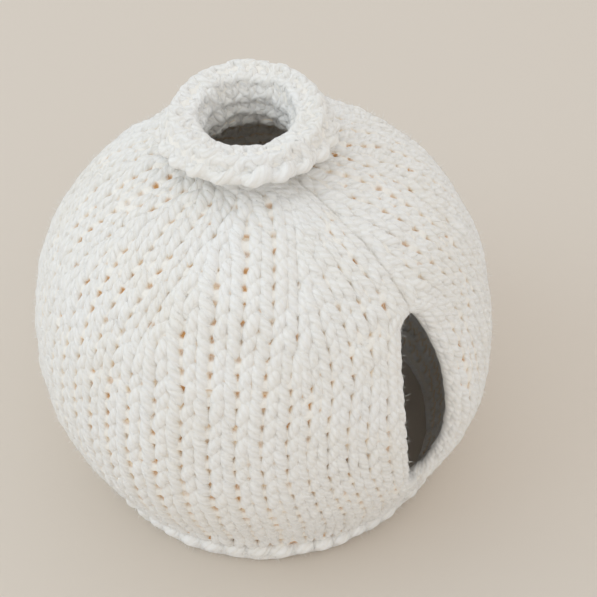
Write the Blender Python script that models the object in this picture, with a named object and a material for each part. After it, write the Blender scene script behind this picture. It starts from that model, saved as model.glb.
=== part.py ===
# Tea cosy, hand-knitted in thick cream yarn.
# Two knitted halves, front and back, are sewn together at the sides, above and below a slit on each
# side. Each half is one piece of cloth from the hem up to the collar, which rolls outwards.
# The origin is the centre of the hem, on the surface it stands on. The long slit is at +X and the
# short slit at -X. Sizes are in millimetres, angles in degrees.
import bisect
from math import atan2, cos, exp, hypot, pi, radians, sin

import bmesh
import bpy

MILLIMETRE = 0.001

# The cloth
CLOTH_THICKNESS = 5.0
SEAM_GAP = 0.3

# The middle line of the cloth, from the hem over the body to the foot of the collar: radius, height
BODY_LINE = [
    (57.3, 0.0),
    (61.0, 11.0),
    (65.2, 21.5),
    (69.2, 31.5),
    (71.8, 42.0),
    (72.5, 52.5),
    (71.7, 63.5),
    (69.7, 74.0),
    (66.3, 84.0),
    (61.4, 93.3),
    (54.9, 101.6),
    (46.9, 108.5),
    (37.9, 113.8),
    (29.2, 117.2),
    (22.6, 118.9),
    (18.0, 120.9),
    (15.6, 124.6),
    (15.0, 129.0),
]
WIDEST_HEIGHT = 52.5

# The collar rolls outwards over a half turn, and its flap hangs down outside the neck
NECK_RADIUS = 15.0
ROLL_RADIUS = 4.0
ROLL_HEIGHT = 133.0
FLAP_END_RADIUS = 23.4
FLAP_END_HEIGHT = 126.4

# Rows of points along the middle line
BODY_ROWS = 25
ROLL_ROWS = 6
FLAP_ROWS = 3

# The knitting: five sections of six stitch columns in each half
SECTIONS = 5
SECTION_COLUMNS = 6
COLUMNS = SECTIONS * SECTION_COLUMNS
POINTS_PER_COLUMN = 2
RIB_DEPTH = 0.45
# Between these heights each section's border is a groove, this deep and this many columns wide
BORDER_DEPTH = 0.9
BORDER_WIDTH = 0.7
BORDER_HEIGHTS = {"start": 92.0, "full": 104.0, "fading": 114.0, "end": 119.0}
# The sections narrow from six columns at this radius to two at the neck
NARROWING_START_RADIUS = 66.0
NARROWING_END_RADIUS = 22.0
NECK_COLUMNS = 2
# Where the sections begin and end, as shares of the half's width. The fourth is stretched most
SECTION_PLACES = [0.0, 0.19, 0.38, 0.572, 0.81, 1.0]
# The borders of the sections swirl towards the half's right seam as they climb, less near its seams
SWIRL = 25.0
SWIRL_GROWTH = 1.5
SWIRL_EASE = {"left": 15.0, "right": 9.0}
# Under the collar the swirl unwinds between these heights
SWIRL_FADING_HEIGHT = 118.0
SWIRL_END_HEIGHT = 125.0
# Past the neck the cloth is hidden under the collar, so the ribs fade out there
RIB_FADING_HEIGHT = 113.0
RIB_END_HEIGHT = 119.0

# The slits: heights of their ends, and how far each side opens from the seam
LONG_SLIT = {"bottom": 27.0, "top": 95.0, "front": 12.0, "back": 8.0}
SHORT_SLIT = {"bottom": 48.0, "top": 100.0, "front": 10.0, "back": 10.0}
SLIT_FULLNESS = 0.45
# A slit pushes this many columns aside sharply, and this many gently, for this far past its ends
SHARP_COLUMNS = 2.5
GENTLE_COLUMNS = 12.0
GENTLE_REACH = 14.0
# A slit's edge behaves as an edge, and not as a seam, where it stands this far from the seam
OPEN_WIDTH = 6.0
# The selvedge curls inwards along a slit
CURL_DEPTH = 1.6
CURL_WIDTH = 5.0
# The sewing draws the outer face in along a seam
SEAM_DEPTH = 1.3
SEAM_WIDTH = 2.6

# The cloth stands off beside the slits: angle, height, spread of each, and how far
STAND_OFF = [
    {"angle": 16.0, "height": 44.0, "angle_spread": 17.0, "height_spread": 24.0, "depth": 1.6},
    {"angle": -12.0, "height": 60.0, "angle_spread": 9.0, "height_spread": 26.0, "depth": 1.2},
    {"angle": 180.0, "height": 76.0, "angle_spread": 24.0, "height_spread": 22.0, "depth": 1.6},
]
# Slow waves that keep the body from being perfectly round: waves around, phase, depth
WAVES = [
    {"count": 3, "phase": 40.0, "depth": 0.6},
    {"count": 5, "phase": 110.0, "depth": 0.4},
]
WAVE_HEIGHTS = {"start": 2.0, "full": 20.0, "fading": 95.0, "end": 118.0}

# The hem: a purl ridge that stands proud, with a bump for each stitch
HEM_RIDGE_HEIGHT = 5.0
HEM_RIDGE_SPREAD = 3.4
HEM_RIDGE_DEPTH = 1.3
HEM_BUMP_DEPTH = 0.4

# The collar is lumpy, and leans a little: bumps around it, how deep, and how far it leans
COLLAR_BUMPS = 20
COLLAR_BUMP_DEPTH = 0.5
COLLAR_LEAN = (-1.0, -1.0)
LEAN_START_HEIGHT = 100.0
LEAN_END_HEIGHT = 121.0
# Its roll drops towards this angle, where the flap is shorter and its edge rises a little
COLLAR_DROP = 4.0
COLLAR_DROP_ANGLE = -42.0
DROP_START_HEIGHT = 119.0
DROP_END_HEIGHT = 131.0
FLAP_RISE = 2.0

YARN_COLOUR = (0.84, 0.82, 0.76, 1.0)
YARN_ROUGHNESS = 0.9


def clear_scene():
    for thing in list(bpy.data.objects):
        bpy.data.objects.remove(thing, do_unlink=True)


def smooth_step(low, high, value):
    t = min(max((value - low) / (high - low), 0.0), 1.0)
    return t * t * (3.0 - 2.0 * t)


def between(heights, height):
    """1 between the full and fading heights, falling smoothly to 0 at the start and the end."""
    return (smooth_step(heights["start"], heights["full"], height)
            * smooth_step(heights["end"], heights["fading"], height))


def curve_through(points, steps):
    """A smooth curve through the points, with this many steps between each two."""
    first = tuple(2 * a - b for a, b in zip(points[0], points[1]))
    last = tuple(2 * a - b for a, b in zip(points[-1], points[-2]))
    ends = [first] + list(points) + [last]
    curve = []
    for i in range(1, len(ends) - 2):
        before, start, stop, after = ends[i - 1:i + 3]
        for step in range(steps):
            t = step / steps
            curve.append(tuple(
                0.5 * (2 * p1 + (p2 - p0) * t + (2 * p0 - 5 * p1 + 4 * p2 - p3) * t * t
                       + (3 * p1 - p0 - 3 * p2 + p3) * t ** 3)
                for p0, p1, p2, p3 in zip(before, start, stop, after)))
    curve.append(tuple(points[-1]))
    return curve


def spaced(curve, rows):
    """Points at equal distances along a curve, both ends included."""
    lengths = [0.0]
    for a, b in zip(curve, curve[1:]):
        lengths.append(lengths[-1] + hypot(b[0] - a[0], b[1] - a[1]))
    points = []
    for row in range(rows + 1):
        target = lengths[-1] * row / rows
        i = min(max(bisect.bisect_right(lengths, target), 1), len(curve) - 1)
        t = (target - lengths[i - 1]) / (lengths[i] - lengths[i - 1])
        points.append(tuple(a + (b - a) * t for a, b in zip(curve[i - 1], curve[i])))
    return points


def middle_line():
    """Radius, height and outward direction of the cloth's middle line, from hem to collar edge."""
    body = spaced(curve_through(BODY_LINE, 8), BODY_ROWS)
    roll_centre = NECK_RADIUS + ROLL_RADIUS
    roll = []
    for row in range(ROLL_ROWS + 1):
        angle = pi - pi * row / ROLL_ROWS
        roll.append((roll_centre + ROLL_RADIUS * cos(angle), ROLL_HEIGHT + ROLL_RADIUS * sin(angle)))
    flap = []
    for row in range(1, FLAP_ROWS + 1):
        t = row / FLAP_ROWS
        flap.append((roll[-1][0] + (FLAP_END_RADIUS - roll[-1][0]) * t,
                     ROLL_HEIGHT + (FLAP_END_HEIGHT - ROLL_HEIGHT) * t))
    drops = [smooth_step(DROP_START_HEIGHT, DROP_END_HEIGHT, height) for _, height in body + roll]
    for row in range(1, FLAP_ROWS + 1):
        drops.append(1.0 - (1.0 + FLAP_RISE / COLLAR_DROP) * row / FLAP_ROWS)
    line = body + roll + flap
    rows = []
    for i, (radius, height) in enumerate(line):
        before = line[max(i - 1, 0)]
        after = line[min(i + 1, len(line) - 1)]
        along = atan2(after[1] - before[1], after[0] - before[0])
        if i == 0:
            along = pi / 2
        rows.append({"radius": radius, "height": height, "out": (sin(along), -cos(along)),
                     "drop": drops[i], "on_body": i <= BODY_ROWS})
    return rows


def slit_opening(slit, side, height):
    """How far, in millimetres, this side of a slit stands back from the seam."""
    t = (height - slit["bottom"]) / (slit["top"] - slit["bottom"])
    if t <= 0.0 or t >= 1.0:
        return 0.0
    return slit[side] * sin(pi * t) ** SLIT_FULLNESS


def slit_push(slit, side, from_slit, height):
    """How far the seam gap and the slit push aside a column that is this many columns from them."""
    low = slit["bottom"] - GENTLE_REACH
    high = slit["top"] + GENTLE_REACH
    t = min(max((height - low) / (high - low), 0.0), 1.0)
    gentle = slit[side] * sin(pi * t) ** 2 * smooth_step(GENTLE_COLUMNS, 0.0, from_slit)
    sharp = SEAM_GAP / 2 + slit_opening(slit, side, height)
    near = smooth_step(SHARP_COLUMNS, 0.0, from_slit)
    return near * sharp + (1.0 - near) * gentle


def column_share(column):
    """How far across its half a column lies, from 0 to 1."""
    section = min(int(column / SECTION_COLUMNS), SECTIONS - 1)
    left, right = SECTION_PLACES[section:section + 2]
    return left + (right - left) * (column / SECTION_COLUMNS - section)


def narrowing(row):
    """From 0 where the sections start to narrow to 1 at the neck."""
    if row["height"] < WIDEST_HEIGHT:
        return 0.0
    t = (NARROWING_START_RADIUS - row["radius"]) / (NARROWING_START_RADIUS - NARROWING_END_RADIUS)
    return min(max(t, 0.0), 1.0)


def section_columns(row):
    """How many stitch columns a section has left in this row."""
    return SECTION_COLUMNS + (NECK_COLUMNS - SECTION_COLUMNS) * narrowing(row)


def swirl(column, row):
    """How far the borders of the sections lean towards the right seam."""
    climb = narrowing(row) ** SWIRL_GROWTH
    climb *= smooth_step(SWIRL_END_HEIGHT, SWIRL_FADING_HEIGHT, row["height"])
    from_left = smooth_step(0, SWIRL_EASE["left"], column)
    from_right = smooth_step(COLUMNS, COLUMNS - SWIRL_EASE["right"], column)
    return SWIRL * climb * from_left * from_right


def unevenness(angle, height):
    """How far the cloth stands off the round, in millimetres."""
    off = 0.0
    for bulge in STAND_OFF:
        turn = (angle - bulge["angle"] + 180.0) % 360.0 - 180.0
        across = turn / bulge["angle_spread"]
        along = (height - bulge["height"]) / bulge["height_spread"]
        off += bulge["depth"] * exp(-across * across - along * along)
    fade = between(WAVE_HEIGHTS, height)
    for wave in WAVES:
        off += fade * wave["depth"] * sin(radians(wave["count"] * angle + wave["phase"]))
    return off


def relief(column, row, angle, from_edge, opening):
    """The outer face's ribs, borders, seams, hem ridge and collar bumps, in millimetres."""
    height = row["height"]
    if not row["on_body"]:
        return COLLAR_BUMP_DEPTH * cos(radians(angle) * COLLAR_BUMPS)
    from_border = (COLUMNS - column) % SECTION_COLUMNS / SECTION_COLUMNS
    ribs = -RIB_DEPTH * cos(2 * pi * from_border * section_columns(row))
    ribs *= smooth_step(RIB_END_HEIGHT, RIB_FADING_HEIGHT, height)
    ribs *= smooth_step(HEM_RIDGE_HEIGHT, HEM_RIDGE_HEIGHT * 2, height)
    border = 0.0
    for edge in range(1, SECTIONS):
        across = (column - edge * SECTION_COLUMNS) / BORDER_WIDTH
        border -= BORDER_DEPTH * exp(-across * across)
    border *= between(BORDER_HEIGHTS, height)
    across = (height - HEM_RIDGE_HEIGHT) / HEM_RIDGE_SPREAD
    ridge = HEM_RIDGE_DEPTH * exp(-across * across)
    bump = HEM_BUMP_DEPTH * cos(2 * pi * column) * exp(-across * across)
    across = from_edge / SEAM_WIDTH
    seam = -SEAM_DEPTH * exp(-across * across) * smooth_step(OPEN_WIDTH, 0.0, opening)
    seam *= smooth_step(HEM_RIDGE_HEIGHT, HEM_RIDGE_HEIGHT * 2, height)
    return ribs + border + ridge + bump + seam


def cloth_point(side, column, row, face):
    """A point of the outer (face 1) or inner (face -1) side of a half, in metres."""
    height = row["height"]
    radius = row["radius"]
    left_slit, right_slit = (SHORT_SLIT, LONG_SLIT) if side == "front" else (LONG_SLIT, SHORT_SLIT)
    left = SEAM_GAP / 2
    right = SEAM_GAP / 2
    stand_off = 0.0
    lean = 1.0
    if row["on_body"]:
        left += slit_opening(left_slit, side, height)
        right += slit_opening(right_slit, side, height)
        lean = smooth_step(LEAN_START_HEIGHT, LEAN_END_HEIGHT, height)
    half_turn = pi * radius
    arc = half_turn * column_share(column)
    arc += slit_push(left_slit, side, column, height)
    arc -= slit_push(right_slit, side, COLUMNS - column, height)
    start = -180.0 if side == "front" else 0.0
    angle = start + arc / radius * 180.0 / pi + swirl(column, row)
    from_edge = min(arc - left, half_turn - right - arc)
    opening = left if arc < half_turn / 2 else right
    opening -= SEAM_GAP / 2
    curl = CURL_DEPTH * smooth_step(CURL_WIDTH, 0.0, from_edge) * smooth_step(0.0, OPEN_WIDTH, opening)
    if row["on_body"]:
        stand_off = unevenness(angle, height) - curl
    offset = face * CLOTH_THICKNESS / 2 + stand_off
    if face == 1 or not row["on_body"]:
        offset += face * relief(column, row, angle, from_edge, opening)
    at = radius + offset * row["out"][0]
    turn = radians(angle)
    drop = COLLAR_DROP * row["drop"] * (1.0 + cos(radians(angle - COLLAR_DROP_ANGLE))) / 2
    return (MILLIMETRE * (at * cos(turn) + lean * COLLAR_LEAN[0]),
            MILLIMETRE * (at * sin(turn) + lean * COLLAR_LEAN[1]),
            MILLIMETRE * (height + offset * row["out"][1] - drop))


def add_grid(mesh, side, rows, face, per_column):
    columns = COLUMNS * per_column
    grid = []
    for row in rows:
        line = []
        for i in range(columns + 1):
            line.append(mesh.verts.new(cloth_point(side, i / per_column, row, face)))
        grid.append(line)
    for low, high in zip(grid, grid[1:]):
        for i in range(columns):
            corners = [low[i], low[i + 1], high[i + 1], high[i]]
            mesh.faces.new(corners if face == 1 else corners[::-1])
    return grid


def close_ends(mesh, outer, inner, upwards):
    """The hem or the collar's edge: each inner step meets the outer steps beside it."""
    for i in range(len(inner) - 1):
        first = i * POINTS_PER_COLUMN
        outside = outer[first:first + POINTS_PER_COLUMN + 1]
        corners = [inner[i], inner[i + 1]] + outside[::-1]
        mesh.faces.new(corners[::-1] if upwards else corners)


def close_side(mesh, outer, inner, column, right):
    for i in range(len(outer) - 1):
        corners = [outer[i][column], outer[i + 1][column], inner[i + 1][column], inner[i][column]]
        mesh.faces.new(corners[::-1] if right else corners)


def knitted_half(side, material):
    rows = middle_line()
    mesh = bmesh.new()
    outer = add_grid(mesh, side, rows, 1, POINTS_PER_COLUMN)
    inner = add_grid(mesh, side, rows, -1, 1)
    close_ends(mesh, outer[0], inner[0], False)
    close_ends(mesh, outer[-1], inner[-1], True)
    close_side(mesh, outer, inner, 0, False)
    close_side(mesh, outer, inner, -1, True)
    bmesh.ops.triangulate(mesh, faces=mesh.faces[:])
    bmesh.ops.recalc_face_normals(mesh, faces=mesh.faces[:])
    data = bpy.data.meshes.new(side + "_panel")
    mesh.to_mesh(data)
    mesh.free()
    data.shade_smooth()
    data.materials.append(material)
    thing = bpy.data.objects.new(side + "_panel", data)
    bpy.context.collection.objects.link(thing)
    return thing


def yarn_material(name):
    material = bpy.data.materials.new(name)
    material.use_nodes = True
    shader = material.node_tree.nodes["Principled BSDF"]
    shader.inputs["Base Color"].default_value = YARN_COLOUR
    shader.inputs["Roughness"].default_value = YARN_ROUGHNESS
    shader.inputs["Metallic"].default_value = 0.0
    return material


def main():
    clear_scene()
    for side in ("front", "back"):
        knitted_half(side, yarn_material(side + "_yarn"))


main()
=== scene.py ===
# Looks of the hand-knitted tea cosy: every stitch of its two halves is a loop of real yarn.
# The yarn runs along the rows and follows the middle of the cloth, whose shape is worked out from the
# same sizes as the solids. Sizes are in millimetres and angles in degrees, unless they say otherwise.
from math import cos, pi, radians, sin

import bpy
import numpy as np
from mathutils import Matrix, Vector


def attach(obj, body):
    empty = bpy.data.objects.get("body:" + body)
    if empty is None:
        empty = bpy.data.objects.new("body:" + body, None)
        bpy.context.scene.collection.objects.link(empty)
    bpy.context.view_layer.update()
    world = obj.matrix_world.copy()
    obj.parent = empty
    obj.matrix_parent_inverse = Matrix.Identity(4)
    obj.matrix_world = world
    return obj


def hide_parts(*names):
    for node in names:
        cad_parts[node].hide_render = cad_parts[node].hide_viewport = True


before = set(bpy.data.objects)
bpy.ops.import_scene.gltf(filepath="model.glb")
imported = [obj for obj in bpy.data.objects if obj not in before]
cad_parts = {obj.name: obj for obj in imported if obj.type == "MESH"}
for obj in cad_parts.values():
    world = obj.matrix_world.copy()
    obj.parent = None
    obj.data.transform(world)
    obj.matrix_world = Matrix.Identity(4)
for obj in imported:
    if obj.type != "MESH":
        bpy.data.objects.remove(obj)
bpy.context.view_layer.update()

MILLIMETRE = 0.001

# The camera, in metres and degrees
CAMERA_PLACE = Vector((0.21340, -0.19215, 0.33345))
CAMERA_AIM = Vector((0.00626, 0.01010, 0.05744))
CAMERA_ROLL = -2.06
CAMERA_LENS = 71.98
CAMERA_SENSOR = 36.0

# The middle line of the cloth, from the hem over the body to the foot of the collar: radius, height
BODY_LINE = [
    (57.3, 0.0),
    (61.0, 11.0),
    (65.2, 21.5),
    (69.2, 31.5),
    (71.8, 42.0),
    (72.5, 52.5),
    (71.7, 63.5),
    (69.7, 74.0),
    (66.3, 84.0),
    (61.4, 93.3),
    (54.9, 101.6),
    (46.9, 108.5),
    (37.9, 113.8),
    (29.2, 117.2),
    (22.6, 118.9),
    (18.0, 120.9),
    (15.6, 124.6),
    (15.0, 129.0),
]
NECK_RADIUS = 15.0
ROLL_RADIUS = 4.0
ROLL_HEIGHT = 133.0
FLAP_END = (23.4, 126.4)
LINE_STEP = 0.25
# Steps between two of the body's points, points around the roll and down the flap, and over how
# many points a slope is averaged
BODY_STEPS = 24
ROLL_STEPS = 48
FLAP_STEPS = 10
SMOOTHING = 9

# The knitting: five sections of six stitch columns in each half
SECTIONS = 5
SECTION_COLUMNS = 6
COLUMNS = SECTIONS * SECTION_COLUMNS
# Above the widest height the sections narrow, from six columns at the first radius to two at the second
NARROWING_START_RADIUS = 66.0
NARROWING_END_RADIUS = 22.0
NECK_COLUMNS = 2
WIDEST_HEIGHT = 52.5
# Where the sections begin and end, as shares of the half's width. The fourth is stretched most
SECTION_PLACES = [0.0, 0.19, 0.38, 0.572, 0.81, 1.0]
# The borders of the sections swirl towards the half's right seam as they climb, less near its seams
SWIRL = 25.0
SWIRL_GROWTH = 1.5
SWIRL_EASE = {"left": 15.0, "right": 9.0}
SWIRL_FADING_HEIGHT = 118.0
SWIRL_END_HEIGHT = 125.0
SEAM_GAP = 0.3

# The slits: heights of their ends, and how far each side opens from the seam
LONG_SLIT = {"bottom": 27.0, "top": 95.0, "front": 12.0, "back": 8.0}
SHORT_SLIT = {"bottom": 48.0, "top": 100.0, "front": 10.0, "back": 10.0}
SLIT_FULLNESS = 0.45
# A slit pushes this many columns aside sharply, and this many gently, for this far past its ends
SHARP_COLUMNS = 2.5
GENTLE_COLUMNS = 12.0
GENTLE_REACH = 14.0
# A slit's edge behaves as an edge, and not as a seam, where it stands this far from the seam
OPEN_WIDTH = 6.0
# The selvedge curls inwards along a slit
CURL_DEPTH = 1.6
CURL_WIDTH = 5.0

# The trough along a seam, and the grooves along the section borders, whose width is in columns
SEAM_DEPTH = 1.0
SEAM_WIDTH = 2.6
BORDER_DEPTH = 0.7
BORDER_WIDTH = 0.7
BORDER_HEIGHTS = {"start": 92.0, "full": 104.0, "fading": 114.0, "end": 119.0}
# The cloth stands off beside the slits, and waves a little all the way around
STAND_OFF = [
    {"angle": 16.0, "height": 44.0, "angle_spread": 17.0, "height_spread": 24.0, "depth": 1.6},
    {"angle": -12.0, "height": 60.0, "angle_spread": 9.0, "height_spread": 26.0, "depth": 1.2},
    {"angle": 180.0, "height": 76.0, "angle_spread": 24.0, "height_spread": 22.0, "depth": 1.6},
]
WAVES = [
    {"count": 3, "phase": 40.0, "depth": 0.6},
    {"count": 5, "phase": 110.0, "depth": 0.4},
]
WAVE_HEIGHTS = {"start": 2.0, "full": 20.0, "fading": 95.0, "end": 118.0}
# The collar stands a little aside. At one angle its top is lower, and its flap's edge higher
COLLAR_LEAN = (-1.0, -1.0)
LEAN_START_HEIGHT = 100.0
LEAN_END_HEIGHT = 121.0
COLLAR_DROP = 4.0
COLLAR_DROP_ANGLE = -42.0
DROP_START_HEIGHT = 119.0
DROP_END_HEIGHT = 131.0
FLAP_RISE = 2.0

# The rows of stitches: how tall a row is at each height, and how far up the cloth they start
ROW_HEIGHTS = [(0.0, 6.4), (30.0, 6.2), (78.0, 5.3), (100.0, 4.8), (112.0, 4.8), (133.0, 4.9)]
FIRST_KNIT_ROW = 13.2
# The last row stays this far from the collar's edge. The collar's rows start this far before the
# body's end
LAST_ROW_CLEARANCE = 2.0
COLLAR_ROWS_REACH = 12.0
# The rows in the body's lower stretch of yarn
LOWER_ROWS = 13

# The hem's two ridges, which bulge and dive once a stitch, and the loops at the collar's edge
HEM_RIDGES = [
    {"length": 2.9, "offset": 0.9, "radius": 2.6, "rise": 0.1, "dive": 0.1, "swell": 0.03, "phase": 0.0},
    {"length": 6.4, "offset": 1.5, "radius": 2.4, "rise": 0.35, "dive": 0.35, "swell": 0.05, "phase": 0.0},
]
RIDGE_STEPS = 12
HELIX_STEPS = 28
COLLAR_LOOPS = {"length": 0.0, "offset": -0.5, "across": 1.7, "sweep": 1.5, "radius": 2.2, "swell": 0.3,
                "upright": -0.03}

# One stitch, as shares of its own width and of the row's height, and its depth
LOOP_HEIGHT = 1.0
LEG_LEAN = 0.19
LEG_SPREAD = 0.045
LOOP_DEPTH = 0.9
LEG_FLATNESS = 1.6
DECREASE_RISE = 0.5
DECREASE_SWELL = 0.12
# Decreases show fully from this much narrowing on, and a column goes when this much of it is left
DECREASE_START = 0.1
COLUMN_LEFT = 0.35

# The yarn
YARN_RADIUS = 1.75
LEG_SWELL = 0.06
STRETCH_SHARE = 0.6
YARN_SIDES = 9
STITCH_STEPS = 18
PLIES = 4
TWIST_LENGTH = 9.0
THICKNESS_WOBBLE = 0.05
THICKNESS_STEP = 5.0
# How far a tube's ends bulge, as a share of its radius
CAP_BULGE = 0.5

# The strand along each side edge of a half, in columns and millimetres
EDGE_COLUMN = 0.16
EDGE_RADIUS = 1.75
EDGE_REACH = 4.0
EDGE_STEP = 1.2
EDGE_WAVE = 0.3
EDGE_SWELL = 0.08
# At a slit the rows end this many columns from the edge. Where their yarn turns back it bulges out
# by this many columns, in this many steps
ROW_END_COLUMN = 0.25
TURN_COLUMNS = 0.04
TURN_STEPS = 4

# The fluff between the loops: how far it reaches to each side, how it thins at its edges, and its grid
FLUFF_OFFSET = 2.0
FLUFF_INSIDE = 1.1
FLUFF_START = 2.5
FLUFF_END_CLEARANCE = 1.5
FLUFF_EDGE_COLUMNS = 0.5
FLUFF_EDGE_SHARE = 0.4
FLUFF_COLUMN_STEPS = 8
FLUFF_STEP = 0.97
# The openings between the loops: their places as shares of a stitch, and their size in millimetres
HOLES = [
    {"across": 0.0, "up": 0.12, "strength": 1.0},
    {"across": 0.5, "up": -0.3, "strength": 0.5},
]
HOLE_EDGE = 1.7
HOLE_FULL = 0.6
HOLE_DEPTH = 1.2
STITCH_SIZE = (7.0, 6.0)
# The taller openings above the hem, and a place on the map that has no opening
HEM_HOLES = {"length": 9.3, "top": 11.5, "stretch": 1.6}
PLAIN_PLACE = (0.25, 0.5)

# The loose fibres that stand off the yarn
FIBRES = 28000
FIBRE_LENGTHS = (0.9, 2.8)
FIBRE_RADIUS = 0.06
FIBRE_LIFT = 0.9
FIBRE_CLEARANCE = 0.3
FIBRE_SCATTER = 0.2
FIBRE_ROLL = 0.3
# Fibres grow where the cosine of the turn around the yarn, from its outer side, is over this
HAIRY_SIDE = -0.3

# How far from the cloth's middle the yarn gets its full painted warm shade, and where it is plain cream,
# and how many columns from an edge that painted shade takes to reach its full strength
FULL_SHADE_DEPTH = 0.7
CREAM_DEPTH = 2.1
EDGE_SHADE_COLUMNS = 1.2

# Unevenness by hand, in millimetres and shares
ROW_WOBBLE = 0.35
DEPTH_WOBBLE = 0.25
SIZE_WOBBLE = 0.07
LEAN_WOBBLE = 0.03
SIDE_WOBBLE = 0.022
THICK_WOBBLE = SIZE_WOBBLE * 0.6
RIDGE_WOBBLE = 3 * SIZE_WOBBLE

# Colours of the yarn, the fluff, the fibres and the floor
WHITE = (1.0, 1.0, 1.0)
# The yarn's darker cream is its own tone, and also painted shade in the grooves between its plies
YARN_SHADE = (0.92, 0.87, 0.78)
YARN_LIGHT = (0.98, 0.965, 0.935)
# Painted warm shade of the yarn where it lies deep between the loops
PAINTED_DEEP_SHADE = (0.92, 0.74, 0.50)
FLUFF_CREAM = (0.96, 0.92, 0.85)
# Painted shade in the openings between the loops
OPENING_PAINTED_SHADE = (0.66, 0.36, 0.15)
FIBRE_SHADE = (0.95, 0.93, 0.89)
FIBRE_LIGHT = (0.98, 0.975, 0.96)
FLOOR_COLOUR = (0.715, 0.64, 0.555)

# The stage, in metres and watts
FLOOR_SIZE = 6.0
FLOOR_HEIGHT = -0.0002
SKY_COLOUR = (0.97, 0.975, 0.98)
SKY_STRENGTH = 0.88
WINDOW = {"place": (-0.7, -1.05, 0.95), "target": (0.0, 0.0, 0.05), "size": 1.4, "power": 4.5,
          "colour": (0.62, 0.83, 1.0)}

generator = np.random.default_rng(11)

# The outer sides of the yarn made so far: points and the directions out of them, for the loose fibres
yarn_walls = []


def smooth_step(low, high, value):
    t = np.clip((value - low) / (high - low), 0.0, 1.0)
    return t * t * (3.0 - 2.0 * t)


def between(heights, height):
    """1 between the full and fading heights, falling smoothly to 0 at the start and the end."""
    return (smooth_step(heights["start"], heights["full"], height)
            * smooth_step(heights["end"], heights["fading"], height))


def curve_through(points, steps):
    """A smooth curve through the points, with this many steps between each two."""
    points = np.array(points)
    first = 2 * points[0] - points[1]
    last = 2 * points[-1] - points[-2]
    ends = np.vstack([first, points, last])
    t = (np.arange(steps) / steps)[:, None]
    curve = []
    for p0, p1, p2, p3 in zip(ends, ends[1:], ends[2:], ends[3:]):
        curve.append(0.5 * (2 * p1 + (p2 - p0) * t + (2 * p0 - 5 * p1 + 4 * p2 - p3) * t ** 2
                            + (3 * p1 - p0 - 3 * p2 + p3) * t ** 3))
    return np.vstack(curve + [points[-1:]])


def run_lengths(points):
    """How far along a path each of its points lies."""
    return np.concatenate([[0.0], np.cumsum(np.linalg.norm(np.diff(points, axis=0), axis=1))])


def smooth_change(values):
    """How much the values change from point to point, averaged over a few points."""
    padded = np.pad(np.gradient(values), SMOOTHING // 2, mode="edge")
    return np.convolve(padded, np.ones(SMOOTHING) / SMOOTHING, mode="valid")


def middle_line():
    """The cloth's middle line from hem to collar edge, at even steps of its length."""
    body = curve_through(BODY_LINE, BODY_STEPS)
    turn = np.radians(np.linspace(180.0, 0.0, ROLL_STEPS))
    roll_centre = NECK_RADIUS + ROLL_RADIUS
    roll = np.stack([roll_centre + ROLL_RADIUS * np.cos(turn), ROLL_HEIGHT + ROLL_RADIUS * np.sin(turn)], 1)
    down_flap = np.linspace(1 / FLAP_STEPS, 1.0, FLAP_STEPS)[:, None]
    flap = roll[-1] + (np.array(FLAP_END) - roll[-1]) * down_flap
    line = np.vstack([body, roll, flap])
    lengths = run_lengths(line)
    even = np.arange(0.0, lengths[-1], LINE_STEP)
    radius = np.interp(even, lengths, line[:, 0])
    height = np.interp(even, lengths, line[:, 1])
    along_radius = smooth_change(radius)
    along_height = smooth_change(height)
    size = np.hypot(along_radius, along_height)
    narrow = (NARROWING_START_RADIUS - radius) / (NARROWING_START_RADIUS - NARROWING_END_RADIUS)
    narrow = np.where(height < WIDEST_HEIGHT, 0.0, np.clip(narrow, 0.0, 1.0))
    flap_start = lengths[-len(flap) - 1]
    on_flap = np.clip((even - flap_start) / (lengths[-1] - flap_start), 0.0, 1.0)
    drop = smooth_step(DROP_START_HEIGHT, DROP_END_HEIGHT, height) - (1.0 + FLAP_RISE / COLLAR_DROP) * on_flap
    return {"length": even, "radius": radius, "height": height,
            "out_radius": along_height / size, "out_height": -along_radius / size,
            "narrowing": np.maximum.accumulate(narrow), "drop": drop,
            "body_end": lengths[len(body) - 1], "end": lengths[-1]}


LINE = middle_line()


def along_line(name, length):
    """A value of the middle line at these lengths, carried on straight past its ends."""
    values = LINE[name]
    inside = np.interp(length, LINE["length"], values)
    before = np.minimum(length, 0.0) * (values[1] - values[0]) / LINE_STEP
    after = np.maximum(length - LINE["length"][-1], 0.0) * (values[-1] - values[-2]) / LINE_STEP
    return inside + before + after


def slit_opening(slit, side, height):
    """How far, in millimetres, this side of a slit stands back from the seam."""
    t = np.clip((height - slit["bottom"]) / (slit["top"] - slit["bottom"]), 0.0, 1.0)
    return slit[side] * np.sin(pi * t) ** SLIT_FULLNESS


def slit_push(slit, side, from_slit, height):
    """How far the seam gap and the slit push aside a column that is this many columns from them."""
    low = slit["bottom"] - GENTLE_REACH
    high = slit["top"] + GENTLE_REACH
    t = np.clip((height - low) / (high - low), 0.0, 1.0)
    gentle = slit[side] * np.sin(pi * t) ** 2 * smooth_step(GENTLE_COLUMNS, 0.0, from_slit)
    sharp = SEAM_GAP / 2 + slit_opening(slit, side, height)
    near = smooth_step(SHARP_COLUMNS, 0.0, from_slit)
    return near * sharp + (1.0 - near) * gentle


def column_share(column):
    """How far across its half a column lies, from 0 to 1, and on past both edges."""
    inside = np.clip(column, 0.0, COLUMNS)
    borders = np.arange(SECTIONS + 1) * SECTION_COLUMNS
    return np.interp(inside, borders, SECTION_PLACES) + (column - inside) / COLUMNS


def slit_open(slit, side, length):
    """How far the edge is open at these lengths up the cloth, from 0 in the seam to 1 in the slit."""
    return smooth_step(0.0, OPEN_WIDTH / 2, slit_opening(slit, side, along_line("height", length)))


def side_slits(side):
    """The slits at the left and the right edge of a half."""
    return (SHORT_SLIT, LONG_SLIT) if side == "front" else (LONG_SLIT, SHORT_SLIT)


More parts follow.
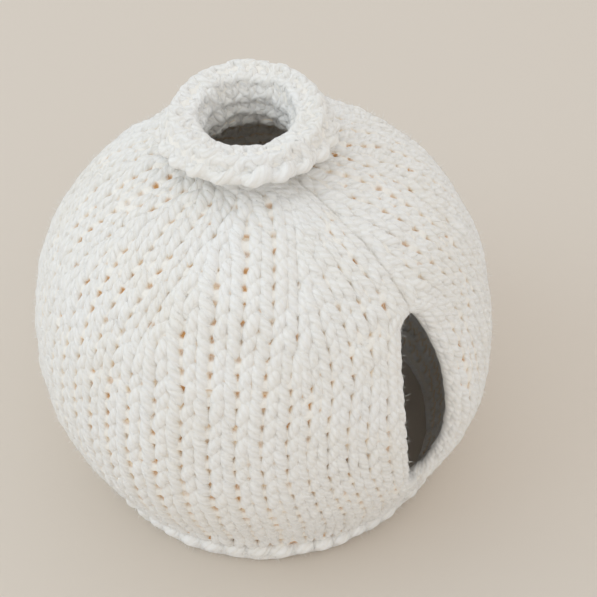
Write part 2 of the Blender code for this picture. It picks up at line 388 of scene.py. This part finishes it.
def unevenness(angle, height):
    """How far the cloth stands off the round, in millimetres."""
    off = np.zeros_like(angle)
    for bulge in STAND_OFF:
        turn = (angle - bulge["angle"] + 180.0) % 360.0 - 180.0
        across = turn / bulge["angle_spread"]
        along = (height - bulge["height"]) / bulge["height_spread"]
        off += bulge["depth"] * np.exp(-across * across - along * along)
    fade = between(WAVE_HEIGHTS, height)
    for wave in WAVES:
        off += fade * wave["depth"] * np.sin(np.radians(wave["count"] * angle + wave["phase"]))
    return off


def across_cloth(side, column, radius, height, narrow, on_body):
    """The angle of each point, how far it is from the nearer edge, and how far that edge is open."""
    left_slit, right_slit = side_slits(side)
    left = SEAM_GAP / 2 + on_body * slit_opening(left_slit, side, height)
    right = SEAM_GAP / 2 + on_body * slit_opening(right_slit, side, height)
    half_turn = pi * radius
    arc = half_turn * column_share(column)
    arc += slit_push(left_slit, side, column, height)
    arc -= slit_push(right_slit, side, COLUMNS - column, height)
    start = -180.0 if side == "front" else 0.0
    ends = smooth_step(0, SWIRL_EASE["left"], column)
    ends *= smooth_step(COLUMNS, COLUMNS - SWIRL_EASE["right"], column)
    climb = np.clip(narrow, 0.0, 1.0) ** SWIRL_GROWTH
    climb *= smooth_step(SWIRL_END_HEIGHT, SWIRL_FADING_HEIGHT, height)
    angle = start + np.degrees(arc / radius) + SWIRL * climb * ends
    from_edge = np.minimum(arc - left, half_turn - right - arc)
    opening = np.where(arc < half_turn / 2, left, right) - SEAM_GAP / 2
    return angle, from_edge, opening


def relief(column, height, angle, from_edge, opening):
    """How far the cloth stands off the round, less the slits' curl, the seams and the borders' grooves."""
    edge_open = smooth_step(0.0, OPEN_WIDTH, opening)
    curl = CURL_DEPTH * smooth_step(CURL_WIDTH, 0.0, from_edge) * edge_open
    seam = SEAM_DEPTH * np.exp(-(from_edge / SEAM_WIDTH) ** 2) * (1.0 - edge_open)
    border = np.zeros_like(column)
    for edge in range(1, SECTIONS):
        border += np.exp(-((column - edge * SECTION_COLUMNS) / BORDER_WIDTH) ** 2)
    border *= BORDER_DEPTH * between(BORDER_HEIGHTS, height)
    return unevenness(angle, height) - curl - seam - border


def cloth_points(side, column, length, offset):
    """Points of a half, in metres: column 0 to 30 across it, length up it, offset out of it."""
    radius = along_line("radius", length)
    height = along_line("height", length)
    narrow = along_line("narrowing", length)
    on_body = length < LINE["body_end"]
    angle, from_edge, opening = across_cloth(side, column, radius, height, narrow, on_body)
    offset = offset + on_body * relief(column, height, angle, from_edge, opening)
    lean = np.where(on_body, smooth_step(LEAN_START_HEIGHT, LEAN_END_HEIGHT, height), 1.0)
    at = radius + offset * along_line("out_radius", length)
    turn = np.radians(angle)
    fall = COLLAR_DROP * along_line("drop", length)
    fall *= (1.0 + np.cos(np.radians(angle - COLLAR_DROP_ANGLE))) / 2
    return MILLIMETRE * np.stack([at * np.cos(turn) + lean * COLLAR_LEAN[0],
                                  at * np.sin(turn) + lean * COLLAR_LEAN[1],
                                  height + offset * along_line("out_height", length) - fall], axis=-1)


def row_places():
    """The middle of each knit row, as a length up the cloth, and the row's height."""
    heights = [h for h, _ in ROW_HEIGHTS]
    sizes = [size for _, size in ROW_HEIGHTS]
    rows = []
    length = FIRST_KNIT_ROW
    while length < LINE["end"] - LAST_ROW_CLEARANCE:
        size = float(np.interp(along_line("height", length), heights, sizes))
        rows.append((length, size))
        length += size
    return rows


def section_width(length):
    """How many stitch columns a section is wide, from six down to two."""
    return SECTION_COLUMNS + (NECK_COLUMNS - SECTION_COLUMNS) * along_line("narrowing", length)


def row_stitches(length):
    """Section and place in it, counted from its right border, of each stitch of a row."""
    count = max(NECK_COLUMNS, int(np.ceil(section_width(length) - COLUMN_LEFT)))
    stitches = []
    for section in range(SECTIONS):
        for place in range(count - 1, -1, -1):
            stitches.append((section, place, place == count - 1))
    return np.array(stitches)


def stitch_edges(stitches, length):
    """The columns at which each stitch starts and ends, at these lengths up the cloth."""
    section = stitches[:, 0:1]
    place = stitches[:, 1:2]
    width = section_width(length)
    right = SECTION_COLUMNS * (section + 1 - place / width)
    left = SECTION_COLUMNS * (section + 1 - (place + 1) / width)
    left = np.where(stitches[:, 2:3] == 1, SECTION_COLUMNS * section, left)
    return np.maximum(left, SECTION_COLUMNS * section), right


def knit_row(middle, size):
    """One row's yarn as columns, lengths, offsets and thickness, from left to right."""
    stitches = row_stitches(middle)
    count = len(stitches)
    t = np.linspace(0.0, 2 * pi, STITCH_STEPS, endpoint=False)[None, :]
    share = t / (2 * pi)
    edge_shift = generator.normal(0.0, ROW_WOBBLE, count + 1)
    edge_depth = generator.normal(0.0, DEPTH_WOBBLE, count + 1)
    tall = 1.0 + generator.normal(0.0, SIZE_WOBBLE, count)[:, None]
    deep = 1.0 + generator.normal(0.0, SIZE_WOBBLE, count)[:, None]
    thick = 1.0 + generator.normal(0.0, THICK_WOBBLE, count)[:, None]
    inner = np.sin(t / 2) ** 2
    shift = edge_shift[:-1, None] * (1 - share) + edge_shift[1:, None] * share
    sink = edge_depth[:-1, None] * (1 - share) + edge_depth[1:, None] * share
    tall = 1.0 + (tall - 1.0) * inner
    lean = LEG_LEAN + generator.normal(0.0, LEAN_WOBBLE, count)[:, None]
    spread = LEG_SPREAD + generator.normal(0.0, SIDE_WOBBLE, count)[:, None]
    aside = generator.normal(0.0, SIDE_WOBBLE, count)[:, None]
    across = share + lean * np.sin(2 * t) + spread * np.sin(t) + aside * inner
    length = middle + shift + LOOP_HEIGHT * size * tall * np.cos(t)
    left, right = stitch_edges(stitches, length)
    column = left + (right - left) * across
    offset = sink - LOOP_DEPTH * deep * np.tanh(LEG_FLATNESS * np.cos(2 * t)) / np.tanh(LEG_FLATNESS)
    radius = YARN_RADIUS * (1.0 - LEG_SWELL * np.cos(2 * t)) * (1.0 + (thick - 1.0) * inner)
    # Where two stitches are knitted together, the yarn lies thicker and higher
    decrease = stitches[:, 2:3] * smooth_step(0.0, DECREASE_START, along_line("narrowing", middle)) * inner
    offset += DECREASE_RISE * decrease
    radius *= 1.0 + DECREASE_SWELL * decrease
    path = np.stack([column, length, offset, radius], axis=-1).reshape(-1, 4)
    end = np.array([[COLUMNS, length[-1, 0] + shift[-1, -1] - shift[-1, 0], offset[-1, 0], radius[-1, 0]]])
    return np.vstack([path, end])


def joined_rows(rows):
    """Rows joined into one yarn that turns back at each end."""
    path = []
    for number, row in enumerate(rows):
        row = row if number % 2 == 0 else row[::-1]
        if path:
            before = path[-1][-1]
            after = row[0]
            outward = TURN_COLUMNS if before[0] > COLUMNS / 2 else -TURN_COLUMNS
            for step in range(TURN_STEPS):
                share = (step + 1) / (TURN_STEPS + 1)
                point = before + (after - before) * share
                point[0] += outward * sin(pi * share)
                path.append(point[None, :])
        path.append(row)
    return np.vstack(path)


def tube_faces(count):
    """The quads of a tube with this many rings, and the triangles that close its two ends."""
    sides = YARN_SIDES
    first = (np.arange(count - 1)[:, None] * sides + np.arange(sides)[None, :])
    side_next = (np.arange(count - 1)[:, None] * sides + (np.arange(sides)[None, :] + 1) % sides)
    quads = np.stack([first, side_next, side_next + sides, first + sides], axis=-1).reshape(-1, 4)
    rim = np.arange(sides)
    rim_next = (rim + 1) % sides
    start_cap = np.stack([rim_next, rim, np.full(sides, count * sides)], axis=-1)
    base = (count - 1) * sides
    end_cap = np.stack([base + rim, base + rim_next, np.full(sides, count * sides + 1)], axis=-1)
    return [quads, start_cap, end_cap]


def winding_map(length):
    """A tube's map: the turn around it and the length along it, at each corner of its faces."""
    shape = (len(length) - 1, YARN_SIDES)
    around = np.arange(YARN_SIDES + 1) / YARN_SIDES
    low = np.broadcast_to(length[:-1, None], shape)
    high = np.broadcast_to(length[1:, None], shape)
    here = np.broadcast_to(around[:-1], shape)
    there = np.broadcast_to(around[1:], shape)
    wall = np.stack([here, low, there, low, there, high, here, high], axis=-1).reshape(-1, 2)
    cap_corners = 3 * YARN_SIDES
    caps = np.zeros((2 * cap_corners, 2))
    caps[cap_corners:, 1] = length[-1]
    return np.vstack([wall, caps])


def deepness_map(depth):
    """A tube's map of how far each corner lies from the cloth's middle, which sets its painted warm shade.
    Its ends are plain cream.
    """
    depth = np.hstack([depth, depth[:, :1]])
    wall = np.stack([depth[:-1, :-1], depth[:-1, 1:], depth[1:, 1:], depth[1:, :-1]], axis=-1).reshape(-1)
    corners = np.zeros((wall.size + 6 * YARN_SIDES, 2))
    corners[:, 0] = CREAM_DEPTH
    corners[:wall.size, 0] = wall
    return corners


def tube_mesh(name, points, out, radius, offset):
    """A closed tube along the points, which lie this far out of the cloth's middle."""
    along = np.gradient(points, axis=0)
    along /= np.linalg.norm(along, axis=1)[:, None]
    up = out - along * (out * along).sum(1)[:, None]
    up /= np.linalg.norm(up, axis=1)[:, None]
    over = np.cross(along, up)
    turn = np.linspace(0.0, 2 * pi, YARN_SIDES, endpoint=False)
    ring = (up[:, None, :] * np.cos(turn)[None, :, None] + over[:, None, :] * np.sin(turn)[None, :, None])
    wall = points[:, None, :] + MILLIMETRE * radius[:, None, None] * ring
    outer = np.cos(turn) > HAIRY_SIDE
    yarn_walls.append((wall[:, outer].reshape(-1, 3), ring[:, outer].reshape(-1, 3)))
    caps = np.stack([points[0] - along[0] * MILLIMETRE * radius[0] * CAP_BULGE,
                     points[-1] + along[-1] * MILLIMETRE * radius[-1] * CAP_BULGE])
    verts = np.vstack([wall.reshape(-1, 3), caps])
    # The hem rests on the floor, so its yarn is flat there
    verts[:, 2] = np.maximum(verts[:, 2], 0.0)
    # How deep each corner lies, which sets the yarn's painted warm shade
    depth = np.abs(offset[:, None] + radius[:, None] * np.cos(turn)[None, :])
    maps = {"yarn_map": winding_map(run_lengths(points) / MILLIMETRE), "depth_map": deepness_map(depth)}
    return build_mesh(name, verts, tube_faces(len(points)), maps)


def build_mesh(name, verts, groups, maps=None):
    """An object from vertices, groups of faces with as many corners each, and maps of the corners."""
    data = bpy.data.meshes.new(name)
    corners = np.concatenate([g.reshape(-1) for g in groups])
    totals = np.concatenate([np.full(len(g), g.shape[1]) for g in groups])
    starts = np.concatenate([[0], np.cumsum(totals)[:-1]])
    data.vertices.add(len(verts))
    data.vertices.foreach_set("co", verts.astype(np.float32).reshape(-1))
    data.loops.add(len(corners))
    data.loops.foreach_set("vertex_index", corners.astype(np.int32))
    data.polygons.add(len(totals))
    data.polygons.foreach_set("loop_start", starts.astype(np.int32))
    data.polygons.foreach_set("loop_total", totals.astype(np.int32))
    for map_name, values in (maps or {}).items():
        layer = data.uv_layers.new(name=map_name)
        layer.data.foreach_set("uv", values.astype(np.float32).reshape(-1))
    data.update(calc_edges=True)
    data.validate()
    data.shade_smooth()
    thing = bpy.data.objects.new(name, data)
    bpy.context.collection.objects.link(thing)
    return thing


def yarn_piece(name, side, path):
    """A tube of yarn along a path of columns, lengths, offsets and thicknesses.

    At a slit a row stays clear of the edge, where the edge's own yarn lies. Only the body's rows get
    painted warm shade where they lie deep."""
    column, length, offset, radius = path.T
    left_slit, right_slit = side_slits(side)
    if name.endswith("_rows"):
        first = ROW_END_COLUMN * slit_open(left_slit, side, length)
        last = COLUMNS - ROW_END_COLUMN * slit_open(right_slit, side, length)
        column = np.clip(column, first, last)
    stretch = COLUMNS * (column_share(column + 0.5) - column_share(column - 0.5))
    radius = radius * (1.0 + STRETCH_SHARE * (stretch - 1.0))
    points = cloth_points(side, column, length, offset)
    out = cloth_points(side, column, length, offset + 1.0) - points
    run = run_lengths(points) / MILLIMETRE
    places = np.arange(0.0, run[-1] + THICKNESS_STEP, THICKNESS_STEP)
    uneven = np.interp(run, places, generator.normal(1.0, THICKNESS_WOBBLE, len(places)))
    radius = radius * uneven
    plain = radius + CREAM_DEPTH
    # The body's rows get painted warm shade where they lie deep, fading out near the edges; other yarn stays
    # plain cream
    if name.endswith(("lower_rows", "upper_rows")):
        at_edge = smooth_step(EDGE_SHADE_COLUMNS, 0.0, np.minimum(column, COLUMNS - column))
        return tube_mesh(name, points, out, radius, offset + (plain - offset) * at_edge)
    return tube_mesh(name, points, out, radius, plain)


def edge_helix(loops, start, turns):
    """Yarn that winds round an edge of the cloth, as the loops of its last row do."""
    t = np.arange(turns * HELIX_STEPS + 1) / HELIX_STEPS
    turn = 2 * pi * t
    loop_ends = generator.normal(0.0, SIZE_WOBBLE, turns + 1)
    uneven = 1.0 + np.interp(t, np.arange(turns + 1), loop_ends)
    column = COLUMNS * (t + loops["upright"] * np.cos(turn)) / turns
    return np.stack([np.clip(column, 0.0, COLUMNS),
                     start + loops["length"] + loops["across"] * uneven * np.cos(turn),
                     loops["offset"] + loops["sweep"] * np.sin(turn),
                     loops["radius"] * uneven + loops["swell"] * np.sin(turn)], axis=-1)


def hem_ridge(ridge):
    """One of the hem's ridges: yarn along the hem that bulges out and dives in once a stitch."""
    column = np.linspace(0.0, COLUMNS, COLUMNS * RIDGE_STEPS + 1)
    stitches = np.arange(COLUMNS + 1)
    uneven = np.interp(column, stitches, generator.normal(1.0, RIDGE_WOBBLE, COLUMNS + 1))
    wander = np.interp(column, stitches, generator.normal(0.0, DEPTH_WOBBLE, COLUMNS + 1))
    wave = uneven * np.cos(2 * pi * (column + ridge["phase"]))
    return np.stack([column, ridge["length"] + ridge["rise"] * wave, ridge["offset"] + wander
                     + ridge["dive"] * wave, ridge["radius"] * (1.0 + ridge["swell"] * wave)], axis=-1)


def edge_strand(column):
    """The outermost yarn of an edge, which goes from row to row along the seam and the slit."""
    length = np.arange(EDGE_REACH, LINE["body_end"] - EDGE_REACH, EDGE_STEP)
    row_height = ROW_HEIGHTS[1][1]
    wave = np.sin(2 * pi * length / row_height)
    return np.stack([np.full(len(length), column), length, EDGE_WAVE * wave,
                     EDGE_RADIUS * (1.0 + EDGE_SWELL * wave)], axis=-1)


def fuzz(name, walls):
    """Fine loose fibres, each a thin closed spike, whose roots are in the yarn's outer side."""
    roots = np.vstack([root for root, _ in walls])
    normals = np.vstack([normal for _, normal in walls])
    chosen = generator.integers(0, len(roots), FIBRES)
    root = roots[chosen] + generator.normal(0.0, MILLIMETRE * FIBRE_SCATTER, (FIBRES, 3))
    normal = normals[chosen]
    aside = generator.normal(0.0, 1.0, (FIBRES, 3))
    aside /= np.linalg.norm(aside, axis=1)[:, None]
    along = normal * FIBRE_LIFT + aside
    along /= np.linalg.norm(along, axis=1)[:, None]
    length = MILLIMETRE * generator.uniform(*FIBRE_LENGTHS, FIBRES)[:, None]
    tip = root + along * length
    keep = (tip[:, 2] > FIBRE_CLEARANCE * MILLIMETRE) & (root[:, 2] > FIBRE_CLEARANCE * MILLIMETRE)
    root, along, tip, normal = root[keep], along[keep], tip[keep], normal[keep]
    first = np.cross(along, normal + FIBRE_ROLL * aside[keep])
    first /= np.linalg.norm(first, axis=1)[:, None]
    second = np.cross(along, first)
    corners = []
    for turn in (0.0, 2 * pi / 3, 4 * pi / 3):
        corners.append(root + MILLIMETRE * FIBRE_RADIUS * (cos(turn) * first + sin(turn) * second))
    verts = np.stack(corners + [tip], axis=1).reshape(-1, 3)
    base = 4 * np.arange(len(root))[:, None]
    faces = np.stack([base + [0, 2, 1], base + [0, 1, 3], base + [1, 2, 3], base + [2, 0, 3]], axis=1)
    return build_mesh(name, verts, [faces.reshape(-1, 3)])


def stitch_phase(section, column, length, on_hem):
    """How many stitches from its section's right border, and how many rows up, a point lies.

    On the collar the rows don't count on, so no opening shows there. Above the hem the openings are
    taller, and half a stitch aside."""
    stitch = (section + 1.0 - column / SECTION_COLUMNS) * section_width(length)
    middles = [place for place, _ in row_places() if place < LINE["body_end"]]
    row = np.interp(length, middles, np.arange(len(middles)))
    hem_row = HOLES[0]["up"] + (length - HEM_HOLES["length"]) / (STITCH_SIZE[1] * HEM_HOLES["stretch"])
    return np.where(on_hem, stitch + 0.5, stitch), np.where(on_hem, hem_row, row)


def hole_share(stitch, row):
    """How far the fluff is open beside the stitches, from 0 to 1."""
    share = np.zeros_like(stitch)
    for hole in HOLES:
        across = ((stitch - hole["across"] + 0.5) % 1.0 - 0.5) * STITCH_SIZE[0]
        along = ((row - hole["up"] + 0.5) % 1.0 - 0.5) * STITCH_SIZE[1]
        share += hole["strength"] * smooth_step(HOLE_EDGE, HOLE_FULL, np.hypot(across, along))
    return share


def grid_faces(points):
    """The quads of a grid of point numbers."""
    corners = [points[:-1, :-1], points[:-1, 1:], points[1:, 1:], points[1:, :-1]]
    return np.stack(corners, axis=-1).reshape(-1, 4)


def grid_border(points):
    """The point numbers around a grid, once around."""
    return np.concatenate([points[0, :-1], points[:-1, -1], points[-1, :0:-1], points[:0:-1, 0]])


def opening_map(column, length):
    """The stitches and rows counted at each corner of the fluff's outer faces, but for its edges."""
    middle = column.mean(axis=1, keepdims=True)
    section = np.floor(middle / SECTION_COLUMNS)
    on_hem = length.mean(axis=1, keepdims=True) < HEM_HOLES["top"]
    corners = np.stack(stitch_phase(section, column, length, on_hem), axis=-1)
    at_edge = (middle < FLUFF_EDGE_COLUMNS) | (middle > COLUMNS - FLUFF_EDGE_COLUMNS)
    corners[at_edge[:, 0]] = PLAIN_PLACE
    return corners.reshape(-1, 2)


def fluff_sheet(side):
    """The felted fluff of the cloth, between the yarn's front and back loops.

    Its map counts stitches and rows. Its inner face has half as many points each way."""
    columns = np.linspace(0.0, COLUMNS, COLUMNS * FLUFF_COLUMN_STEPS + 1)
    end = LINE["end"] - FLUFF_END_CLEARANCE
    steps = 2 * int((end - FLUFF_START) / FLUFF_STEP / 2)
    column, length = np.meshgrid(columns, np.linspace(FLUFF_START, end, steps + 1))
    stitch, row = stitch_phase(np.floor(column / SECTION_COLUMNS), column, length, length < HEM_HOLES["top"])
    edge = np.clip(np.minimum(column, COLUMNS - column) / FLUFF_EDGE_COLUMNS, 0.0, 1.0)
    left_slit, right_slit = side_slits(side)
    at_slit = np.where(column < COLUMNS / 2, slit_open(left_slit, side, length),
                       slit_open(right_slit, side, length))
    share = 1.0 - (1.0 - FLUFF_EDGE_SHARE) * (1.0 - np.sqrt(edge * (2.0 - edge))) * at_slit
    dimple = HOLE_DEPTH * hole_share(stitch, row) * edge
    outer = cloth_points(side, column, length, FLUFF_OFFSET * share - dimple)
    inner = cloth_points(side, column[::2, ::2], length[::2, ::2], -FLUFF_INSIDE * share[::2, ::2])
    verts = np.vstack([outer.reshape(-1, 3), inner.reshape(-1, 3)])
    index = np.arange(column.size).reshape(column.shape)
    under = column.size + np.arange(inner[..., 0].size).reshape(inner.shape[:2])
    face = grid_faces(index)
    back = grid_faces(under)[:, ::-1]
    above = grid_border(index)
    below = grid_border(under)
    rim = np.stack([np.roll(above[::2], -1), above[1::2], above[::2], below, np.roll(below, -1)], axis=-1)
    face_map = opening_map(column.reshape(-1)[face], length.reshape(-1)[face])
    plain = np.tile(PLAIN_PLACE, (back.size + rim.size, 1))
    return build_mesh(side + "_fluff", verts, [face, back, rim], {"stitch_map": np.vstack([face_map, plain])})


class Recipe:
    """A material, and short calls that add nodes to it and give what they put out."""

    def __init__(self, name, roughness, specular):
        self.material = bpy.data.materials.new(name)
        self.material.use_nodes = True
        self.nodes = self.material.node_tree.nodes
        self.links = self.material.node_tree.links
        self.shader = self.nodes["Principled BSDF"]
        self.shader.inputs["Roughness"].default_value = roughness
        self.shader.inputs["Specular IOR Level"].default_value = specular

    def feed(self, socket, value):
        """Links a socket to an output, or sets it to a number."""
        if isinstance(value, bpy.types.NodeSocket):
            self.links.new(value, socket)
        else:
            socket.default_value = value

    def node(self, kind, inputs):
        """A node of this kind, with these of its inputs fed."""
        node = self.nodes.new("ShaderNode" + kind)
        for name, value in inputs.items():
            self.feed(node.inputs[name], value)
        return node

    def math(self, operation, *values):
        node = self.nodes.new("ShaderNodeMath")
        node.operation = operation
        for socket, value in zip(node.inputs, values):
            self.feed(socket, value)
        return node.outputs[0]

    def place(self):
        """Where each point lies, in metres."""
        return self.nodes.new("ShaderNodeNewGeometry").outputs["Position"]

    def mesh_map(self, name):
        """Both coordinates of one of the mesh's maps."""
        mesh_map = self.nodes.new("ShaderNodeUVMap")
        mesh_map.uv_map = name
        split = self.node("SeparateXYZ", {0: mesh_map.outputs["UV"]})
        return split.outputs["X"], split.outputs["Y"]

    def noise(self, vector, scale, detail=2.0):
        return self.node("TexNoise", {"Vector": vector, "Scale": scale, "Detail": detail}).outputs["Fac"]

    def rise(self, value, start, end, low=0.0, high=1.0, kind="SMOOTHSTEP"):
        """From low where the value is at the start to high where it is at the end."""
        node = self.nodes.new("ShaderNodeMapRange")
        node.interpolation_type = kind
        names = ("Value", "From Min", "From Max", "To Min", "To Max")
        for name, number in zip(names, (value, start, end, low, high)):
            self.feed(node.inputs[name], number)
        return node.outputs["Result"]

    def ramp(self, value, low, high):
        """A colour between two, each given with the value at which it is pure."""
        node = self.node("ValToRGB", {"Fac": value})
        for element, (position, colour) in zip(node.color_ramp.elements, (low, high)):
            element.position = position
            element.color = (*colour, 1.0)
        return node.outputs["Color"]

    def multiply(self, first, second):
        """Two colours multiplied."""
        node = self.nodes.new("ShaderNodeMix")
        node.data_type = "RGBA"
        node.blend_type = "MULTIPLY"
        for name, value in (("Factor", 1.0), ("A", first), ("B", second)):
            self.feed(node.inputs[name], value)
        return node.outputs["Result"]

    def colour(self, value):
        self.feed(self.shader.inputs["Base Color"], value)

    def bump(self, height, strength, distance):
        """Relief on the surface, its distance in metres."""
        node = self.node("Bump", {"Height": height, "Strength": strength, "Distance": distance})
        self.links.new(node.outputs["Normal"], self.shader.inputs["Normal"])


def yarn_material():
    """Soft cream yarn: plies that wind round each other, fine fibres along them, and a fuzzy sheen."""
    recipe = Recipe("cream_yarn", roughness=0.9, specular=0.15)
    recipe.shader.inputs["Sheen Weight"].default_value = 0.6
    recipe.shader.inputs["Sheen Roughness"].default_value = 0.6
    math = recipe.math
    around, along = recipe.mesh_map("yarn_map")
    # The plies: the wave turns with the length along the yarn
    wound = math("ADD", around, math("DIVIDE", along, TWIST_LENGTH))
    ply = math("ABSOLUTE", math("SINE", math("MULTIPLY", wound, PLIES * pi)))
    # Fibres: noise drawn out along the plies
    across_plies = math("MULTIPLY", wound, 26.0)
    along_plies = math("MULTIPLY", along, 0.22)
    drawn_out = recipe.node("CombineXYZ", {0: across_plies, 1: along_plies})
    fibres = recipe.noise(drawn_out.outputs[0], scale=1.0, detail=3.0)
    recipe.bump(math("ADD", ply, math("MULTIPLY", fibres, 1.5)), strength=0.6, distance=0.00045)

    # Slow changes of tone over the cloth, and painted shade in the grooves between the plies
    slow = recipe.noise(recipe.place(), scale=45.0)
    tone_and_groove_shade = math("ADD", math("MULTIPLY", slow, 0.5), math("MULTIPLY", ply, 0.15))
    tone_and_groove_shade = math("ADD", tone_and_groove_shade, math("MULTIPLY", fibres, 0.5))
    cream = recipe.ramp(tone_and_groove_shade, (0.35, YARN_SHADE), (0.75, YARN_LIGHT))

    # Painted warm shade: deep between the loops the yarn is coloured warmer
    depth, _ = recipe.mesh_map("depth_map")
    painted_shade = recipe.ramp(recipe.rise(depth, FULL_SHADE_DEPTH, CREAM_DEPTH), (0.0, PAINTED_DEEP_SHADE), (1.0, WHITE))
    recipe.colour(recipe.multiply(cream, painted_shade))
    return recipe.material


def fluff_material():
    """The fluff between the loops: cream, with painted warm shade in the openings beside each stitch."""
    recipe = Recipe("cream_fluff", roughness=1.0, specular=0.05)
    math = recipe.math
    stitch, row = recipe.mesh_map("stitch_map")

    def squared_distance(value, centre, size):
        """The square of how far the value's fraction is from the centre's, in millimetres."""
        # Ten whole stitches more keep the number positive
        fraction = math("FRACT", math("ADD", value, 10.5 - centre))
        return math("POWER", math("MULTIPLY", math("SUBTRACT", fraction, 0.5), size), 2.0)

    opened = 0.0
    for hole in HOLES:
        across = squared_distance(stitch, hole["across"], STITCH_SIZE[0])
        along = squared_distance(row, hole["up"], STITCH_SIZE[1])
        distance = math("SQRT", math("ADD", across, along))
        opened = math("ADD", opened, recipe.rise(distance, HOLE_EDGE, HOLE_FULL, high=hole["strength"]))
    # Painted shade in the openings, stronger in some patches than in others
    place = recipe.place()
    patches = recipe.noise(place, scale=150.0, detail=1.0)
    strength = recipe.rise(patches, 0.4, 0.62, low=0.2, kind="LINEAR")
    opening_shade = math("MULTIPLY", opened, strength)
    recipe.colour(recipe.ramp(opening_shade, (0.0, FLUFF_CREAM), (1.0, OPENING_PAINTED_SHADE)))
    recipe.bump(recipe.noise(place, scale=900.0, detail=3.0), strength=0.8, distance=0.0007)
    return recipe.material


def fuzz_material():
    """The loose fibres: plain soft cream, lighter than the painted shade of the yarn's grooves."""
    recipe = Recipe("cream_fuzz", roughness=1.0, specular=0.05)
    slow = recipe.noise(recipe.place(), scale=60.0)
    recipe.colour(recipe.ramp(slow, (0.0, FIBRE_SHADE), (1.0, FIBRE_LIGHT)))
    return recipe.material


def floor_material():
    recipe = Recipe("pale_floor", roughness=0.85, specular=0.2)
    recipe.colour((*FLOOR_COLOUR, 1.0))
    recipe.bump(recipe.noise(recipe.place(), scale=400.0), strength=0.08, distance=0.0002)
    return recipe.material

def make_camera():
    data = bpy.data.cameras.new("camera")
    data.lens = CAMERA_LENS
    data.sensor_width = CAMERA_SENSOR
    data.clip_start = 0.01
    data.clip_end = 20.0
    camera = bpy.data.objects.new("camera", data)
    bpy.context.collection.objects.link(camera)
    view = (CAMERA_AIM - CAMERA_PLACE).normalized()
    level_right = view.cross(Vector((0, 0, 1))).normalized()
    level_up = level_right.cross(view)
    roll = radians(CAMERA_ROLL)
    right = cos(roll) * level_right + sin(roll) * level_up
    up = right.cross(view)
    turn = Matrix((right, up, -view)).transposed().to_4x4()
    camera.matrix_world = Matrix.Translation(CAMERA_PLACE) @ turn
    bpy.context.scene.camera = camera


def area_light(name, place, target, size, power, colour):
    data = bpy.data.lights.new(name, "AREA")
    data.shape = "DISK"
    data.size = size
    data.energy = power
    data.color = colour
    light = bpy.data.objects.new(name, data)
    light.location = place
    light.rotation_mode = "QUATERNION"
    light.rotation_quaternion = (Vector(target) - Vector(place)).to_track_quat("-Z", "Y")
    bpy.context.collection.objects.link(light)


def make_stage():
    bpy.ops.mesh.primitive_plane_add(size=FLOOR_SIZE, location=(0, 0, FLOOR_HEIGHT))
    floor = bpy.context.object
    floor.name = "floor"
    floor.data.materials.append(floor_material())
    world = bpy.data.worlds.new("studio")
    world.use_nodes = True
    background = world.node_tree.nodes["Background"]
    background.inputs["Color"].default_value = (*SKY_COLOUR, 1.0)
    background.inputs["Strength"].default_value = SKY_STRENGTH
    bpy.context.scene.world = world
    area_light("window", **WINDOW)
    bpy.context.scene.view_settings.view_transform = "Standard"


def yarn_paths():
    """The name and the path of each stretch of yarn in a half, one after the other."""
    yield "hem_edge", hem_ridge(HEM_RIDGES[0])
    yield "hem_ridge", hem_ridge(HEM_RIDGES[1])
    yield "left_edge", edge_strand(EDGE_COLUMN)
    yield "right_edge", edge_strand(COLUMNS - EDGE_COLUMN)
    rows = row_places()
    body_rows = len([place for place, _ in rows if place < LINE["body_end"] - COLLAR_ROWS_REACH])
    for name, first, last in (("lower_rows", 0, LOWER_ROWS), ("upper_rows", LOWER_ROWS, body_rows),
                              ("collar_rows", body_rows, len(rows))):
        yield name, joined_rows([knit_row(place, size) for place, size in rows[first:last]])
    yield "collar_loops", edge_helix(COLLAR_LOOPS, LINE["end"], SECTIONS * NECK_COLUMNS)


def dress(side, yarn, fibre, fluff):
    """All the yarn of one half, its loose fibres, and the fluff between its loops."""
    yarn_walls.clear()
    pieces = {}
    for name, path in yarn_paths():
        pieces[name] = yarn_piece(side + "_" + name, side, path)
        pieces[name].data.materials.append(yarn)
    pieces["fuzz"] = fuzz(side + "_fuzz", yarn_walls)
    pieces["fuzz"].data.materials.append(fibre)
    sheet = fluff_sheet(side)
    sheet.data.materials.append(fluff)
    for piece in [*pieces.values(), sheet]:
        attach(piece, "root")
    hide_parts(side + "_panel")


make_camera()
make_stage()
cream = yarn_material()
fuzzy = fuzz_material()
fluffy = fluff_material()
for half in ("front", "back"):
    dress(half, cream, fuzzy, fluffy)
